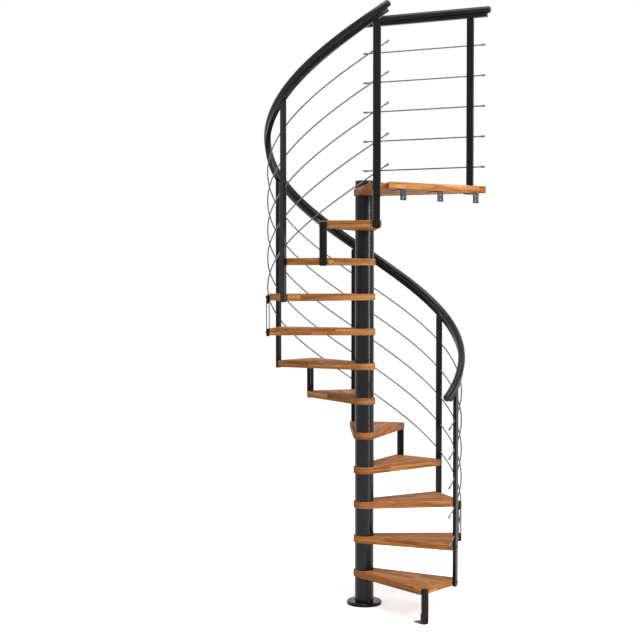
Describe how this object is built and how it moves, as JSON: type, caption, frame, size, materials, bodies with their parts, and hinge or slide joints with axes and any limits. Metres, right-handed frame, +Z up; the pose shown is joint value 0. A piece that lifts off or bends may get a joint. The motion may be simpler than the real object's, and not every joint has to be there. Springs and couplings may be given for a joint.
{
  "type": "spiral staircase",
  "caption": "Spiral staircase with wedge-shaped wooden treads on a black column, flat black posts, a helical handrail, slim rods and a guarded landing.",
  "frame": {"origin": "on the column's axis at the underside of the floor flange", "axes": "+Z up along the column; -Y out through the landing's straight outer edge; the flight climbs counter-clockwise seen from above"},
  "size_m": [1.2027, 1.2253, 3.532],
  "materials": {
    "wood": "satin lacquer over laminated staves",
    "black_steel": "satin black paint",
    "grip": "soft satin black",
    "rod_steel": "satin",
    "bracket_steel": "satin dark grey",
    "bare_steel": "zinc plated"
  },
  "bodies": {
    "root": {"base_flange": "black_steel", "column_spacers": "black_steel", "centre_pole": "bare_steel", "column_cap": "black_steel", "tread_01": "wood", "tread_02": "wood", "tread_03": "wood", "tread_04": "wood", "tread_05": "wood", "tread_06": "wood", "tread_07": "wood", "tread_08": "wood", "tread_09": "wood", "tread_10": "wood", "tread_11": "wood", "landing": "wood", "post_00": "black_steel", "post_01": "black_steel", "post_02": "black_steel", "post_03": "black_steel", "post_04": "black_steel", "post_05": "black_steel", "post_06": "black_steel", "post_07": "black_steel", "post_08": "black_steel", "post_09": "black_steel", "post_10": "black_steel", "post_11": "black_steel", "handrail_bar": "black_steel", "handrail_grip": "grip", "rod_1": "rod_steel", "rod_2": "rod_steel", "rod_3": "rod_steel", "rod_4": "rod_steel", "rod_5": "rod_steel", "guard_post_inner": "black_steel", "guard_post_outer": "black_steel", "guard_rail_bar": "black_steel", "guard_rail_grip": "grip", "guard_rods": "rod_steel", "grip_end_caps": "grip", "rod_end_caps": "rod_steel", "landing_brackets": "bracket_steel", "floor_bracket": "bracket_steel"}
  },
  "joints": []
}
